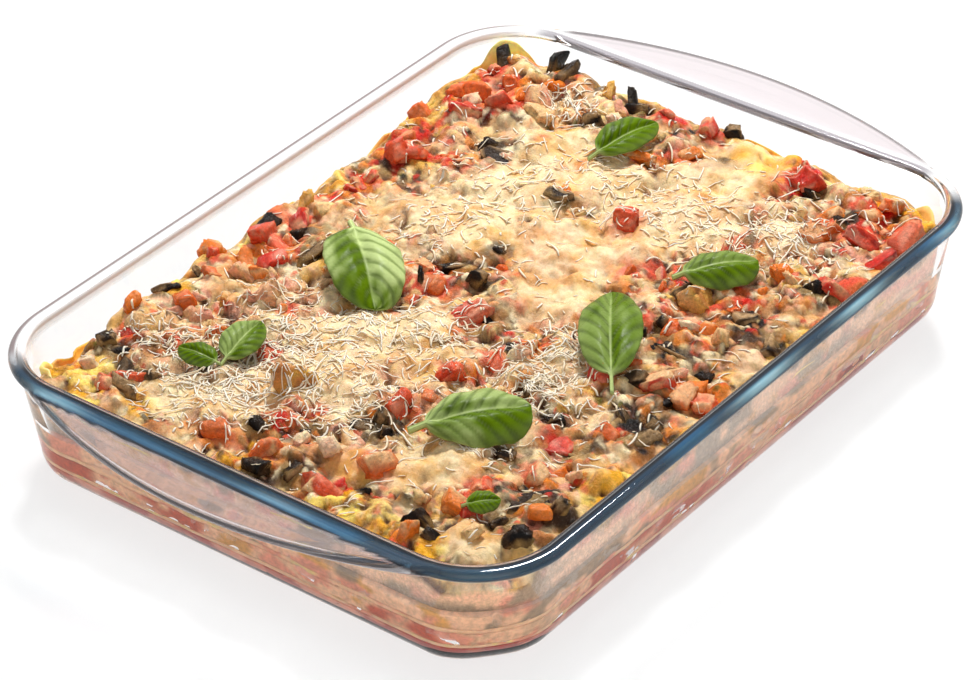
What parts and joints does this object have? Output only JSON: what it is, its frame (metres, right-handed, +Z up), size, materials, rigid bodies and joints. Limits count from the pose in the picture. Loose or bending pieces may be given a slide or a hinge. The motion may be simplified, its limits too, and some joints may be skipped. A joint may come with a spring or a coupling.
{
  "type": "baking dish",
  "caption": "Oblong clear glass roasting dish with rolled rim and two arc handles, holding a layered vegetable lasagne under melted cheese, vegetable chunks and basil leaves.",
  "frame": {"origin": "on the table under the middle of the dish", "axes": "+X along the dish from one handle to the other, +Y across it, +Z up"},
  "size_m": [0.4, 0.272, 0.055],
  "materials": {
    "glass": "clear polished pressed glass, blue at the edges",
    "sauce": "wet tomato sauce",
    "pasta": "baked pasta",
    "filling": "mottled vegetable and white sauce filling",
    "cheese": "melted cheese, browned in spots",
    "tomato": "moist cooked tomato",
    "aubergine": "cooked aubergine, dark glossy skin",
    "mushroom": "baked mushroom",
    "basil": "fresh leaf, waxy"
  },
  "bodies": {
    "root": {"glass_dish": "glass", "sauce_pool": "sauce", "filling_lower": "filling", "filling_upper": "filling", "pasta_low_1": "pasta", "pasta_low_2": "pasta", "pasta_low_3": "pasta", "pasta_middle_1": "pasta", "pasta_middle_2": "pasta", "pasta_middle_3": "pasta", "pasta_top_1": "pasta", "pasta_top_2": "pasta", "pasta_top_3": "pasta", "cheese_topping": "cheese", "tomato_chunk_1": "tomato", "tomato_chunk_2": "tomato", "tomato_chunk_3": "tomato", "tomato_chunk_4": "tomato", "tomato_chunk_5": "tomato", "tomato_chunk_6": "tomato", "tomato_chunk_7": "tomato", "tomato_chunk_8": "tomato", "tomato_chunk_9": "tomato", "tomato_chunk_10": "tomato", "tomato_chunk_11": "tomato", "tomato_chunk_12": "tomato", "tomato_chunk_13": "tomato", "tomato_chunk_14": "tomato", "tomato_chunk_15": "tomato", "tomato_chunk_16": "tomato", "tomato_chunk_17": "tomato", "tomato_chunk_18": "tomato", "tomato_chunk_19": "tomato", "aubergine_wedge_1": "aubergine", "aubergine_wedge_2": "aubergine", "aubergine_wedge_3": "aubergine", "aubergine_wedge_4": "aubergine", "aubergine_wedge_5": "aubergine", "aubergine_wedge_6": "aubergine", "aubergine_wedge_7": "aubergine", "aubergine_wedge_8": "aubergine", "aubergine_wedge_9": "aubergine", "aubergine_wedge_10": "aubergine", "aubergine_wedge_11": "aubergine", "aubergine_wedge_12": "aubergine", "aubergine_wedge_13": "aubergine", "aubergine_wedge_14": "aubergine", "mushroom_piece_1": "mushroom", "mushroom_piece_2": "mushroom", "mushroom_piece_3": "mushroom", "mushroom_piece_4": "mushroom", "mushroom_piece_5": "mushroom", "basil_leaf_1": "basil", "basil_leaf_2": "basil", "basil_leaf_3": "basil", "basil_leaf_4": "basil", "basil_leaf_5": "basil", "basil_leaf_6": "basil", "basil_leaf_7": "basil", "basil_leaf_8": "basil"}
  },
  "joints": []
}
